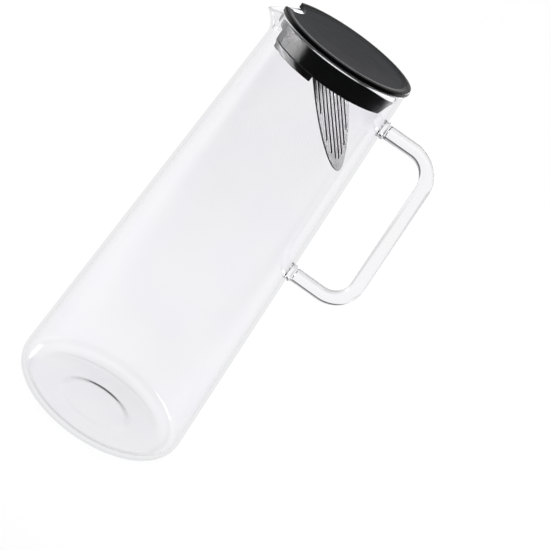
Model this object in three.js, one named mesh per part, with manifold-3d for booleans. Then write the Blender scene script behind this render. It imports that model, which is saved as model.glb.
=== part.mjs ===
// Tall conical glass pitcher: a blown body with a pulled spout, a fused rod handle, and a lid that
// turns in the mouth and lifts off, with its collar, silicone seal and slotted leaf strainer.
// Millimetres, +Z up. The table is z = 0, the spout points to -X and the handle to +X.

import * as THREE from 'three';
import { mergeVertices } from 'three/addons/utils/BufferGeometryUtils.js';
import Module from 'manifold-3d';

const wasm = await Module();
wasm.setup();

const degrees = THREE.MathUtils.degToRad;

// Glass body
const GLASS_HEIGHT = 265.7; // table to the top of the rim
const BASE_RADIUS = 55.7; // outer wall line carried down to the table
const RIM_RADIUS = 40.8; // outer wall line at the rim
const WALL = 2.2;
const FLOOR = 3.2;
const BASE_CORNER = 12; // outer rounding between floor and wall
const FLOOR_CORNER = 9; // inner rounding
const DOME_RADIUS = 26; // thicker lens of glass in the middle of the floor
const DOME_HEIGHT = 1.8;

// Pouring spout, pulled out of the rim
const SPOUT_HEIGHT = 15.5; // wall below the rim that bends outwards
const SPOUT_REACH = 9.3; // how far the lip stands outside the wall
const SPOUT_DROP = 6.6; // how far the lip sinks below the rim
const SPOUT_HALF_ANGLE = degrees(27);
const SPOUT_CURL = 1.25; // 1 bends at a line, more bends softly

// Rod handle, fused to the wall at two beads
const ROD_RADIUS = 4.3;
const HANDLE_JOINT = 21.8; // upper arm below the rim, measured on the wall
const HANDLE_SPAN = 99; // arm to arm along the wall, centre to centre
const HANDLE_REACH = 36.7; // wall to the middle of the grip
const HANDLE_BEND = 16; // middle of the rod at the two corners
const BEAD_RADIUS = 5.5;
const BEAD_LENGTH = 3.4;

// Lid cover: a round plate with a raised edge and a bite at the spout
const LID_OVERHANG = 1.2; // past the outer wall at the rim
const LID_THICKNESS = 2.8; // at its raised edge
const LID_EDGE = 0.6; // rounding of the edge
const LID_RIM = 3; // width of the raised edge
const LID_DISH = 0.8; // depth of the dished top
const LID_SLOPE = 3.5; // width of the slope into the dish
const NOTCH_RADIUS = 17;
const NOTCH_DEPTH = 11; // from the edge of the plate inwards
const LOBE_RADIUS = 3; // rounding where the bite meets the edge

// Collar under the cover, standing in the mouth
const NECK_WALL = 3;
const FLANGE = 1.6;
const SKIRT_HEIGHT = 11.1; // flange and wall together
const SKIRT_WALL = 1.8;
const SKIRT_DRAFT = 0.8; // how much narrower the wall is at its foot
const BAND_HEIGHT = 3.1; // how much deeper the wall hangs on its spout half
const BAND_STEP = 0.5; // how far that deeper part stands back
const BAND_END = -1; // x where it ends
const POUR_HALF_ANGLE = degrees(36); // open side of the collar at the spout
const SHOULDER_DIP = 3.4; // how far the flange's edge sinks at the handle side
const SHOULDER_HALF_ANGLE = degrees(65);
const VENT_TOP = 13; // width of the slanted gap at the handle side
const VENT_FOOT = 25.6;

// Silicone seal between cover and collar flange
const SEAL_HEIGHT = 2.2;
const SEAL_GROOVE = 5.2; // from the edge of the flange in to the neck

// Leaf strainer: a slotted plate that slopes down from the collar
const LEAF_SLOPE = degrees(49);
const LEAF_THICKNESS = 1.8;
const LEAF_DROP = 1.8; // where it crosses the axis, below the foot of the collar
const LEAF_BORDER = 4.3; // solid margin round the slots
const SLOT_PITCH = 7.1;
const SLOT_WIDTH = 3;
const SLOT_TOP = 3; // the slots start this far inside the collar, past the axis

// Clearances
const SEAT_GAP = 0.3; // lid on rim, and between the pieces of the lid
const FUSE_GAP = 0.3; // rod end to wall
const MOUTH_CLEARANCE = 0.4; // collar to the inside of the mouth
const SEAL_CLEARANCE = 0.3; // seal to the inside of the mouth
const LEAF_CLEARANCE = 0.4; // leaf to the inside of the collar

// Fineness of the round shapes
const GLASS_SIDES = 72;
const LID_SIDES = 72;
const ROD_SIDES = 12;
const ROD_STEPS = 36;
const BEAD_SIDES = 18;
const CORNER_STEPS = 5;
const RIM_STEPS = 4;
const SPOUT_ROWS = 5;
const DOME_STEPS = 4;
const LEAF_STEPS = 44;
const LOBE_STEPS = 5;
const BITE_STEPS = 14;

// Heights and radii that follow from the driving dimensions
const TAPER = (BASE_RADIUS - RIM_RADIUS) / GLASS_HEIGHT;
const SLANT = Math.hypot(1, TAPER);
const LEAN = Math.atan(TAPER);
const MOUTH_RADIUS = innerRadius(GLASS_HEIGHT);
const LID_UNDERSIDE = GLASS_HEIGHT + SEAT_GAP;
const LID_RADIUS = RIM_RADIUS + LID_OVERHANG;
const FLANGE_TOP = LID_UNDERSIDE - 2 * SEAT_GAP - SEAL_HEIGHT;
const FLANGE_UNDERSIDE = FLANGE_TOP - FLANGE;
const SKIRT_FOOT = FLANGE_TOP - SKIRT_HEIGHT;
const BAND_FOOT = SKIRT_FOOT - BAND_HEIGHT;
const SKIRT_RADIUS = MOUTH_RADIUS - MOUTH_CLEARANCE;
const FOOT_RADIUS = SKIRT_RADIUS - SKIRT_DRAFT;
const NECK_RADIUS = SKIRT_RADIUS - SEAL_GROOVE;
const LEAF_RADIUS = FOOT_RADIUS - SKIRT_WALL - LEAF_CLEARANCE;
const CUT_MARGIN = 2; // how far a cutting tool stands past what it cuts

function outerRadius(z) {
  return BASE_RADIUS - TAPER * z;
}

function innerRadius(z) {
  return outerRadius(z) - WALL * SLANT;
}

// Points of an arc in a profile, from one angle to another
function arc(x, y, radius, from, to, steps) {
  return Array.from({ length: steps + 1 }, (_, i) => {
    const angle = from + ((to - from) * i) / steps;
    return new THREE.Vector2(x + radius * Math.cos(angle), y + radius * Math.sin(angle));
  });
}

const point = (x, y) => new THREE.Vector2(x, y);

// One closed surface: shared corners merged, and the flat slivers at a turned piece's poles dropped
function closed(geometry) {
  const bare = geometry.clone();
  bare.deleteAttribute('normal');
  bare.deleteAttribute('uv');
  const merged = mergeVertices(bare);
  const index = merged.index.array;
  const kept = [];
  for (let i = 0; i < index.length; i += 3) {
    const [a, b, c] = index.slice(i, i + 3);
    if (a !== b && b !== c && c !== a) kept.push(a, b, c);
  }
  merged.setIndex(kept);
  return merged;
}

// A profile of (radius, height) points turned about +Z
function turned(profile, sides) {
  return closed(new THREE.LatheGeometry(profile, sides).rotateX(Math.PI / 2));
}

// A flat outline in the XY plane raised along +Z
function raised(shape, depth, curveSegments = 1) {
  return new THREE.ExtrudeGeometry(shape, { depth, curveSegments, bevelEnabled: false });
}

function solid(geometry) {
  const clean = closed(geometry);
  const mesh = new wasm.Mesh({
    numProp: 3,
    vertProperties: new Float32Array(clean.attributes.position.array),
    triVerts: new Uint32Array(clean.index.array),
  });
  return new wasm.Manifold(mesh);
}

function surface(body) {
  const mesh = body.getMesh();
  const geometry = new THREE.BufferGeometry();
  geometry.setAttribute('position', new THREE.BufferAttribute(mesh.vertProperties, 3));
  geometry.setIndex(new THREE.BufferAttribute(mesh.triVerts, 1));
  return geometry;
}

// Bends the wall above the spout's foot outwards, most along -X and not at all at the spout's sides
function pullSpout(geometry) {
  const position = geometry.attributes.position;
  const foot = GLASS_HEIGHT - SPOUT_HEIGHT;
  for (let i = 0; i < position.count; i += 1) {
    const x = position.getX(i);
    const y = position.getY(i);
    const z = position.getZ(i);
    const turn = Math.abs(Math.atan2(y, -x));
    const rise = (z - foot) / SPOUT_HEIGHT;
    if (rise <= 0 || turn >= SPOUT_HALF_ANGLE) continue;
    const side = Math.cos((Math.PI / 2) * (turn / SPOUT_HALF_ANGLE)) ** 2;
    const share = side * rise ** SPOUT_CURL;
    const stretch = 1 + (SPOUT_REACH * share) / Math.hypot(x, y);
    position.setXYZ(i, x * stretch, y * stretch, z - SPOUT_DROP * share);
  }
  return geometry;
}

function glassBody() {
  const rimMiddle = GLASS_HEIGHT - WALL / 2;
  const spoutFoot = GLASS_HEIGHT - SPOUT_HEIGHT;
  const rows = Array.from({ length: SPOUT_ROWS }, (_, i) => (
    spoutFoot + ((rimMiddle - spoutFoot) * i) / SPOUT_ROWS
  ));
  const outerCorner = outerRadius(BASE_CORNER) - BASE_CORNER * SLANT;
  const cornerMiddle = FLOOR + FLOOR_CORNER;
  const innerCorner = innerRadius(cornerMiddle) - FLOOR_CORNER * SLANT;
  const rimCentre = outerRadius(rimMiddle) - (WALL / 2) * SLANT;
  const dome = Array.from({ length: DOME_STEPS + 1 }, (_, i) => {
    const share = 1 - i / DOME_STEPS;
    const height = (DOME_HEIGHT * (1 + Math.cos(Math.PI * share))) / 2;
    return point(DOME_RADIUS * share, FLOOR + height);
  });
  const profile = [
    point(0, 0),
    ...arc(outerCorner, BASE_CORNER, BASE_CORNER, -Math.PI / 2, LEAN, CORNER_STEPS),
    ...rows.map((z) => point(outerRadius(z), z)),
    ...arc(rimCentre, rimMiddle, WALL / 2, LEAN, Math.PI + LEAN, RIM_STEPS),
    ...rows.toReversed().map((z) => point(innerRadius(z), z)),
    ...arc(innerCorner, cornerMiddle, FLOOR_CORNER, LEAN, -Math.PI / 2, CORNER_STEPS),
    ...dome,
  ];
  return pullSpout(turned(profile, GLASS_SIDES));
}

// The middle of the handle's rod: arm, bend, grip, bend, arm, starting just inside the wall
class HandleLine extends THREE.Curve {
  constructor(start, out, down, root) {
    super();
    Object.assign(this, { start, out, down, root });
    this.arm = root + HANDLE_REACH - HANDLE_BEND;
    this.bend = (HANDLE_BEND * Math.PI) / 2;
    this.grip = HANDLE_SPAN - 2 * HANDLE_BEND;
  }

  // Distance from the wall and along the wall, for the upper half of the handle
  half(way) {
    if (way <= this.arm) return [way - this.root, 0];
    if (way <= this.arm + this.bend) {
      const angle = (way - this.arm) / HANDLE_BEND;
      const reach = HANDLE_REACH - HANDLE_BEND + HANDLE_BEND * Math.sin(angle);
      return [reach, HANDLE_BEND * (1 - Math.cos(angle))];
    }
    return [HANDLE_REACH, HANDLE_BEND + way - this.arm - this.bend];
  }

  getPoint(t, target = new THREE.Vector3()) {
    const length = 2 * (this.arm + this.bend) + this.grip;
    const lower = t > 0.5;
    const [reach, fall] = this.half(length * (lower ? 1 - t : t));
    const along = lower ? HANDLE_SPAN - fall : fall;
    return target.copy(this.start).addScaledVector(this.out, reach).addScaledVector(this.down, along);
  }
}

function glassHandle() {
  const out = new THREE.Vector3(Math.cos(LEAN), 0, Math.sin(LEAN));
  const down = new THREE.Vector3(Math.sin(LEAN), 0, -Math.cos(LEAN));
  const jointHeight = GLASS_HEIGHT - HANDLE_JOINT;
  const joint = new THREE.Vector3(outerRadius(jointHeight), 0, jointHeight);
  const root = WALL / 2;

  const section = new THREE.Shape().absarc(0, 0, ROD_RADIUS, 0, 2 * Math.PI);
  const rod = solid(new THREE.ExtrudeGeometry(section, {
    steps: ROD_STEPS,
    curveSegments: ROD_SIDES / 2,
    extrudePath: new HandleLine(joint, out, down, root),
  }));

  const beadProfile = [
    point(0, -root),
    point(BEAD_RADIUS, -root),
    ...arc(ROD_RADIUS, BEAD_LENGTH / 2, BEAD_RADIUS - ROD_RADIUS, 0, Math.PI / 2, RIM_STEPS),
    point(ROD_RADIUS, BEAD_LENGTH),
    point(0, BEAD_LENGTH),
  ];
  const turn = new THREE.Quaternion().setFromUnitVectors(new THREE.Vector3(0, 0, 1), out);
  const bead = (along) => {
    const place = joint.clone().addScaledVector(down, along);
    const whole = turned(beadProfile, BEAD_SIDES).applyQuaternion(turn);
    return solid(whole.translate(place.x, place.y, place.z));
  };

  const gap = FUSE_GAP * SLANT;
  const wall = solid(turned([
    point(0, 0),
    point(outerRadius(0) + gap, 0),
    point(outerRadius(GLASS_HEIGHT) + gap, GLASS_HEIGHT),
    point(0, GLASS_HEIGHT),
  ], GLASS_SIDES));
  return surface(rod.add(bead(0)).add(bead(HANDLE_SPAN)).subtract(wall));
}

function lidCover() {
  const top = LID_UNDERSIDE + LID_THICKNESS;
  const rimInside = LID_RADIUS - LID_RIM;
  const plate = solid(turned([
    point(0, LID_UNDERSIDE),
    point(LID_RADIUS - LID_EDGE, LID_UNDERSIDE),
    ...arc(LID_RADIUS - LID_EDGE, LID_UNDERSIDE + LID_EDGE, LID_EDGE, -Math.PI / 2, 0, 2),
    ...arc(LID_RADIUS - LID_EDGE, top - LID_EDGE, LID_EDGE, 0, Math.PI / 2, 2),
    point(rimInside, top),
    point(rimInside - LID_SLOPE, top - LID_DISH),
    point(0, top - LID_DISH),
  ], LID_SIDES));

  // The bite is a circle round a point outside the plate, with a round lobe on either side: each lobe's
  // circle touches the plate's edge from inside and the bite from outside
  const middle = LID_RADIUS - NOTCH_DEPTH + NOTCH_RADIUS;
  const lobeOut = LID_RADIUS - LOBE_RADIUS;
  const lobeX = ((NOTCH_RADIUS + LOBE_RADIUS) ** 2 - lobeOut ** 2 - middle ** 2) / (2 * middle);
  const lobeY = Math.sqrt(lobeOut ** 2 - lobeX ** 2);
  const toEdge = Math.atan2(lobeY, lobeX);
  const fromBite = Math.atan2(lobeY, lobeX + middle);
  const far = -LID_RADIUS - CUT_MARGIN;
  const wide = lobeY + LOBE_RADIUS;
  const bite = new THREE.Shape([
    point(far, -wide),
    ...arc(lobeX, -lobeY, LOBE_RADIUS, 2 * Math.PI - toEdge, Math.PI - fromBite, LOBE_STEPS),
    ...arc(-middle, 0, NOTCH_RADIUS, -fromBite, fromBite, BITE_STEPS),
    ...arc(lobeX, lobeY, LOBE_RADIUS, Math.PI + fromBite, toEdge, LOBE_STEPS),
    point(far, wide),
  ]);
  const notch = raised(bite, LID_THICKNESS + 2 * CUT_MARGIN);
  notch.translate(0, 0, LID_UNDERSIDE - CUT_MARGIN);
  return surface(plate.subtract(solid(notch)));
}

// Sinks the edge of the collar's flange towards +X, so that it falls away from the seal there
function dipShoulder(geometry) {
  const position = geometry.attributes.position;
  const middle = (FLANGE_UNDERSIDE + SKIRT_FOOT) / 2;
  const edge = NECK_RADIUS + SEAT_GAP;
  for (let i = 0; i < position.count; i += 1) {
    const x = position.getX(i);
    const y = position.getY(i);
    const z = position.getZ(i);
    const turn = Math.abs(Math.atan2(y, x));
    if (z < middle || Math.hypot(x, y) < edge || turn >= SHOULDER_HALF_ANGLE) continue;
    const share = (1 + Math.cos((Math.PI * turn) / SHOULDER_HALF_ANGLE)) / 2;
    position.setZ(i, z - SHOULDER_DIP * share);
  }
  return geometry;
}

function lidCollar() {
  const neckTop = LID_UNDERSIDE - SEAT_GAP;
  const ring = solid(dipShoulder(turned([
    point(NECK_RADIUS - NECK_WALL, FLANGE_UNDERSIDE),
    point(FOOT_RADIUS - SKIRT_WALL, FLANGE_UNDERSIDE),
    point(FOOT_RADIUS - SKIRT_WALL, BAND_FOOT),
    point(FOOT_RADIUS - BAND_STEP, BAND_FOOT),
    point(FOOT_RADIUS - BAND_STEP, SKIRT_FOOT),
    point(FOOT_RADIUS, SKIRT_FOOT),
    point(SKIRT_RADIUS, FLANGE_TOP),
    point(NECK_RADIUS, FLANGE_TOP),
    point(NECK_RADIUS, neckTop),
    point(NECK_RADIUS - NECK_WALL, neckTop),
    point(NECK_RADIUS - NECK_WALL, FLANGE_UNDERSIDE),
  ], LID_SIDES)));

  // The handle half stops at the foot of the skirt, without the deeper band
  const reach = SKIRT_RADIUS + CUT_MARGIN;
  const bandCutHeight = BAND_HEIGHT + CUT_MARGIN;
  const bandCut = new THREE.BoxGeometry(reach - BAND_END, 2 * reach, bandCutHeight);
  bandCut.translate((reach + BAND_END) / 2, 0, SKIRT_FOOT - bandCutHeight / 2);

  // Open side towards the spout, below the flange
  const spread = reach * Math.tan(POUR_HALF_ANGLE);
  const wedge = new THREE.Shape([point(0, 0), point(-reach, spread), point(-reach, -spread)]);
  const pourCut = raised(wedge, FLANGE_UNDERSIDE - BAND_FOOT + CUT_MARGIN);
  pourCut.translate(0, 0, BAND_FOOT - CUT_MARGIN);

  // Slanted gap at the handle side, outlined in Y and Z and raised along +X
  const ventTop = FLANGE_UNDERSIDE - SHOULDER_DIP;
  const gap = new THREE.Shape([
    point(-VENT_FOOT / 2, SKIRT_FOOT - CUT_MARGIN),
    point(VENT_FOOT / 2, SKIRT_FOOT - CUT_MARGIN),
    point(VENT_FOOT / 2, SKIRT_FOOT),
    point(VENT_TOP / 2, ventTop),
    point(-VENT_TOP / 2, ventTop),
    point(-VENT_FOOT / 2, SKIRT_FOOT),
  ]);
  const ventStart = LEAF_RADIUS - CUT_MARGIN;
  const ventCut = raised(gap, reach - ventStart);
  const yzx = new THREE.Matrix4().makeBasis(
    new THREE.Vector3(0, 1, 0),
    new THREE.Vector3(0, 0, 1),
    new THREE.Vector3(1, 0, 0),
  );
  ventCut.applyMatrix4(yzx).translate(ventStart, 0, 0);

  return surface(ring.subtract(solid(bandCut)).subtract(solid(pourCut)).subtract(solid(ventCut)));
}

function sealRing() {
  const foot = FLANGE_TOP + SEAT_GAP;
  const inner = NECK_RADIUS + SEAT_GAP;
  const outer = MOUTH_RADIUS - SEAL_CLEARANCE;
  return turned([
    point(inner, foot),
    point(outer, foot),
    point(outer, foot + SEAL_HEIGHT),
    point(inner, foot + SEAL_HEIGHT),
    point(inner, foot),
  ], LID_SIDES);
}

// The leaf lies in its own plane first: x runs down the slope from the axis, y across it
function leafStrainer() {
  const long = LEAF_RADIUS / Math.cos(LEAF_SLOPE);
  const axisHeight = SKIRT_FOOT - LEAF_DROP;
  const lift = (LEAF_THICKNESS / 2) * Math.cos(LEAF_SLOPE);
  const topRise = FLANGE_UNDERSIDE - SEAT_GAP - axisHeight - lift;
  const top = -topRise / Math.sin(LEAF_SLOPE);
  const turn = Math.acos(top / long);
  const outline = new THREE.Shape(
    arc(0, 0, LEAF_RADIUS, -turn, turn, LEAF_STEPS).map((p) => point((p.x * long) / LEAF_RADIUS, p.y)),
  );

  // Slots with round ends, as long as the border leaves room for, from the middle outwards
  const inside = LEAF_RADIUS - LEAF_BORDER;
  const slotEnd = (y) => {
    const width = Math.max(0, inside ** 2 - y ** 2);
    return Math.sqrt(width) / Math.cos(LEAF_SLOPE) - SLOT_WIDTH / 2;
  };
  const start = -SLOT_TOP;
  const round = SLOT_WIDTH / 2;
  const sideSlots = Math.floor(inside / SLOT_PITCH);
  for (let k = -sideSlots; k <= sideSlots; k += 1) {
    const y = k * SLOT_PITCH;
    const end = slotEnd(y);
    if (end - start < SLOT_PITCH) continue;
    outline.holes.push(new THREE.Path([
      ...arc(end, y, round, -Math.PI / 2, Math.PI / 2, CORNER_STEPS),
      ...arc(start, y, round, Math.PI / 2, (3 * Math.PI) / 2, CORNER_STEPS),
    ]));
  }

  const plate = raised(outline, LEAF_THICKNESS);
  plate.translate(0, 0, -LEAF_THICKNESS / 2).rotateY(LEAF_SLOPE);
  return plate.translate(0, 0, axisHeight);
}

const glass = { color: 0xf1f3f5, roughness: 0.02, metalness: 0, transparent: true, opacity: 0.3 };
const matteBlack = { color: 0x3b3c40, roughness: 0.5, metalness: 0 };
const glossBlack = { color: 0x141517, roughness: 0.15, metalness: 0 };
const clearSilicone = { color: 0xd8dadb, roughness: 0.4, metalness: 0 };

const pieces = [
  ['glass_body', glassBody(), glass],
  ['glass_handle', glassHandle(), glass],
  ['lid_cover', lidCover(), matteBlack],
  ['lid_collar', lidCollar(), glossBlack],
  ['seal_ring', sealRing(), clearSilicone],
  ['leaf_strainer', leafStrainer(), glossBlack],
];

const pitcher = new THREE.Group();
pitcher.name = 'glass_pitcher';
for (const [name, geometry, look] of pieces) {
  const mesh = new THREE.Mesh(closed(geometry), new THREE.MeshStandardMaterial(look));
  mesh.name = name;
  pitcher.add(mesh);
}

export default pitcher;
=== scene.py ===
# %% [markdown]
# Glass pitcher with a turning lid.
# The real object is a tall cone of blown borosilicate glass with a solid glass rod fused to its side,
# closed by a black plastic lid that stands in the mouth and carries a sloping strainer.
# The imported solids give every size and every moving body. This lesson dresses them: it models finer
# glass and lid pieces over the solids, gives each a material, and sets up a small white studio.

import math

import bmesh
import bpy
from mathutils import Matrix, Quaternion, Vector


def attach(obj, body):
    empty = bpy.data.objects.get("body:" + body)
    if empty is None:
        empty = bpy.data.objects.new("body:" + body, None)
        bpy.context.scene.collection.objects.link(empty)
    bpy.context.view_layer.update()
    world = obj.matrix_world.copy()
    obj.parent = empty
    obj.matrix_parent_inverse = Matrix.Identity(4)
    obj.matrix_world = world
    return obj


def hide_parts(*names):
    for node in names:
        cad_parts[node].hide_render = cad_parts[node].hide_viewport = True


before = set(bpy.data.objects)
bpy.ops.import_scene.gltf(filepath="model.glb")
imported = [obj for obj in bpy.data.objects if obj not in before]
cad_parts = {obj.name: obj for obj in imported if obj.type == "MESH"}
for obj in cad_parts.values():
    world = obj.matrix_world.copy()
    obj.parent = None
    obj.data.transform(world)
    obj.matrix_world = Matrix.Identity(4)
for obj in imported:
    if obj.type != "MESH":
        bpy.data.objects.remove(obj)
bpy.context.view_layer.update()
print("solids:", sorted(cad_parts))

# %% [markdown]
# Sizes come first. They repeat the solids' own numbers in millimetres, so that each finer piece lies
# where its solid lies.

# %% Sizes of the glass, in metres
MM = 0.001

GLASS_HEIGHT = 265.7 * MM
BASE_RADIUS = 55.7 * MM
RIM_RADIUS = 40.8 * MM
WALL = 2.2 * MM
FLOOR = 3.2 * MM
BASE_CORNER = 12 * MM
FLOOR_CORNER = 9 * MM
PUSH_RADIUS = 22.5 * MM
PUSH_EDGE = 6.2 * MM
PUSH_HEIGHT = 0.39 * MM
TAPER = (BASE_RADIUS - RIM_RADIUS) / GLASS_HEIGHT
SLANT = math.hypot(1, TAPER)
LEAN = math.atan(TAPER)


def outer_radius(z):
    """Radius of the outside of the glass wall at a height."""
    return BASE_RADIUS - TAPER * z


def inner_radius(z):
    """Radius of the inside of the glass wall at a height."""
    return outer_radius(z) - WALL * SLANT


print(f"wall leans {math.degrees(LEAN):.1f} degrees, mouth {2000 * inner_radius(GLASS_HEIGHT):.1f} mm wide")

# %% [markdown]
# Most pieces here are round, so they start as a flat profile that is spun about the pitcher's axis.
# Spin leaves a stack of doubled points on the axis and doesn't know which side is outside, so one
# helper merges the doubles and turns the faces outwards every time.

# %% Helpers for shapes
MERGE = 0.002 * MM  # points nearer than this become one
SLIVER = 0.001 * MM  # edges shorter than this are dropped


def arc(x, z, radius, start, end, steps):
    """Points of an arc in a profile, from one angle to another."""
    angles = [start + (end - start) * i / steps for i in range(steps + 1)]
    return [(x + radius * math.cos(a), z + radius * math.sin(a)) for a in angles]


def ramp(start, end, steps):
    """Evenly spaced values after start, up to and with end."""
    return [start + (end - start) * (i + 1) / steps for i in range(steps)]


def tidy(bm):
    """Merges doubled points and points every face outwards."""
    bmesh.ops.remove_doubles(bm, verts=bm.verts[:], dist=MERGE)
    bmesh.ops.dissolve_degenerate(bm, dist=SLIVER, edges=bm.edges[:])
    bmesh.ops.recalc_face_normals(bm, faces=bm.faces[:])


def spun(profile, steps, closed=False):
    """A bmesh of a profile of (radius, height) points turned once about the axis."""
    bm = bmesh.new()
    verts = [bm.verts.new((r, 0, z)) for r, z in profile]
    pairs = list(zip(verts, verts[1:]))
    if closed:
        pairs.append((verts[-1], verts[0]))
    edges = [bm.edges.new(pair) for pair in pairs]
    bmesh.ops.spin(
        bm, geom=verts + edges, cent=(0, 0, 0), axis=(0, 0, 1), dvec=(0, 0, 0),
        angle=2 * math.pi, steps=steps, use_merge=True, use_duplicate=False,
    )
    tidy(bm)
    return bm


def as_object(bm, name):
    """Puts a finished bmesh into a new object at the origin."""
    mesh = bpy.data.meshes.new(name)
    bm.to_mesh(mesh)
    bm.free()
    piece = bpy.data.objects.new(name, mesh)
    bpy.context.scene.collection.objects.link(piece)
    return piece


def combine(piece, tool, operation):
    """Joins the tool to the piece (UNION) or cuts it away (DIFFERENCE), and uses the tool up."""
    modifier = piece.modifiers.new("combine", "BOOLEAN")
    modifier.operation, modifier.solver, modifier.object = operation, "EXACT", tool
    evaluated = piece.evaluated_get(bpy.context.evaluated_depsgraph_get())
    mesh = bpy.data.meshes.new_from_object(evaluated)
    piece.modifiers.clear()
    piece.data = mesh
    bpy.data.objects.remove(tool)
    bm = bmesh.new()
    bm.from_mesh(mesh)
    bmesh.ops.remove_doubles(bm, verts=bm.verts[:], dist=2 * MERGE)
    bmesh.ops.dissolve_degenerate(bm, dist=2 * SLIVER, edges=bm.edges[:])
    bm.to_mesh(mesh)
    bm.free()
    return piece


def finish_piece(piece, body, material, nodes, crease=35):
    """Smooth shading with creases, its material, its body and the solids it stands for."""
    piece.data.polygons.foreach_set("use_smooth", [True] * len(piece.data.polygons))
    piece.data.set_sharp_from_angle(angle=math.radians(crease))
    piece.data.materials.clear()
    piece.data.materials.append(material)
    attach(piece, body)
    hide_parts(*nodes)
    print(f"{piece.name}: {len(piece.data.polygons)} faces, rides on {body}, stands for {nodes}")


def soften(piece, width, angle=40, segments=3):
    """Rounds the sharp edges of a moulding with a Bevel modifier."""
    bevel = piece.modifiers.new("moulded edges", "BEVEL")
    bevel.width, bevel.segments, bevel.limit_method = width, segments, "ANGLE"
    bevel.angle_limit = math.radians(angle)
    bevel.use_clamp_overlap = True


# %% [markdown]
# Materials are node trees. Colours are easier to read as the hex values that a colour picker shows,
# but shaders work in linear light, so one function converts them. A second small function adds a node,
# sets it up and links it, which keeps each material to a few lines.

# %% Helpers for materials
def linear(code):
    """An sRGB hex colour as linear red, green, blue and an alpha of 1."""
    parts = [int(code[i:i + 2], 16) / 255 for i in (1, 3, 5)]
    return [p / 12.92 if p <= 0.04045 else ((p + 0.055) / 1.055) ** 2.4 for p in parts] + [1]


def add_node(tree, kind, inputs=None, **settings):
    """Adds a node: settings are its own properties, inputs are values or the sockets to link."""
    node = tree.nodes.new(kind)
    for name, value in settings.items():
        setattr(node, name, value)
    for name, value in (inputs or {}).items():
        if isinstance(value, bpy.types.NodeSocket):
            tree.links.new(value, node.inputs[name])
        else:
            node.inputs[name].default_value = value
    return node


def new_tree(owner):
    """An empty node tree on a material or a world."""
    owner.use_nodes = True
    owner.node_tree.nodes.clear()
    return owner.node_tree


# %% [markdown]
# The glass. Blown borosilicate is clear, very smooth and about 1.47 in refractive index. Being blown, it
# is never quite even: slow ripples some centimetres wide bend what is behind it a little, and its tint
# drifts between a cool and a warm white. A noise texture on Object coordinates drives both.
# A path tracer can't follow lamp light through refracting glass well, so for shadow rays alone the glass
# is plainly transparent. That lets the lamps reach the strainer inside. Light that has bounced several
# times inside the wall, in the corner of the base or in a bead, is let out the same way, because the
# renderer stops following it soon after and would draw it black.

# %% Blown borosilicate glass
RIPPLE = 38 * MM  # width of one slow ripple


def blown_glass():
    """Clear glass with faint ripples and a drifting tint, which show as soft changes in tone."""
    material = bpy.data.materials.new("blown_borosilicate")
    tree = new_tree(material)
    place = add_node(tree, "ShaderNodeTexCoord").outputs["Object"]
    ripple = add_node(tree, "ShaderNodeTexNoise", {"Vector": place, "Scale": 1 / RIPPLE, "Detail": 1})
    tint = add_node(tree, "ShaderNodeValToRGB", {"Fac": ripple.outputs["Fac"]})
    tint.color_ramp.elements[0].color = linear("#FAF9FE")
    tint.color_ramp.elements[1].color = linear("#FDFDFC")
    bump = add_node(tree, "ShaderNodeBump", {
        "Height": ripple.outputs["Fac"], "Strength": 0.06, "Distance": 1 * MM,
    })
    glass = add_node(tree, "ShaderNodeBsdfPrincipled", {
        "Base Color": tint.outputs["Color"], "Normal": bump.outputs["Normal"],
        "Roughness": 0.0, "IOR": 1.47, "Transmission Weight": 1,
    })
    clear = add_node(tree, "ShaderNodeBsdfTransparent", {"Color": linear("#F2F3F5")})
    rays = add_node(tree, "ShaderNodeLightPath")
    trapped = add_node(tree, "ShaderNodeMath", {
        0: rays.outputs["Glossy Depth"], 1: 2.5,
    }, operation="GREATER_THAN")
    outermost = add_node(tree, "ShaderNodeMath", {
        0: rays.outputs["Transmission Depth"], 1: 1.5,
    }, operation="LESS_THAN")
    escapes = add_node(tree, "ShaderNodeMath", {
        0: trapped.outputs["Value"], 1: outermost.outputs["Value"], 2: rays.outputs["Is Shadow Ray"],
    }, operation="MULTIPLY_ADD", use_clamp=True)
    either = add_node(tree, "ShaderNodeMixShader", {
        0: escapes.outputs["Value"], 1: glass.outputs["BSDF"], 2: clear.outputs["BSDF"],
    })
    add_node(tree, "ShaderNodeOutputMaterial", {"Surface": either.outputs["Shader"]})
    return material


glass_finish = blown_glass()
print("made", glass_finish.name)

# %% [markdown]
# The lid's cover is black polypropylene from a mould with a fine spark-eroded texture on its top. The
# texture scatters light, so the top looks charcoal, while the smooth edge of the same plastic stays
# near black. The colour also carries painted light: the top is painted lighter, as if lit from above,
# and the edge and the sides are painted near black, as if in shade. One material makes both, with a
# mask by radius and slope. Two materials on one plate would do it too, but they would meet in a hard
# line of faces. The other lid pieces come from polished moulds and get a plain glossy black.

# %% Textured and polished black plastic
GRAIN = 0.55 * MM  # real spark texture is about 0.1 mm, drawn coarser so that it shows
SMUDGE = 9 * MM  # width of the soft unevenness in the polish
TEXTURE_RADIUS = 37.2 * MM  # the texture on the cover is whole up to here
TEXTURE_END = 37.6 * MM  # and gone from here on


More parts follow.
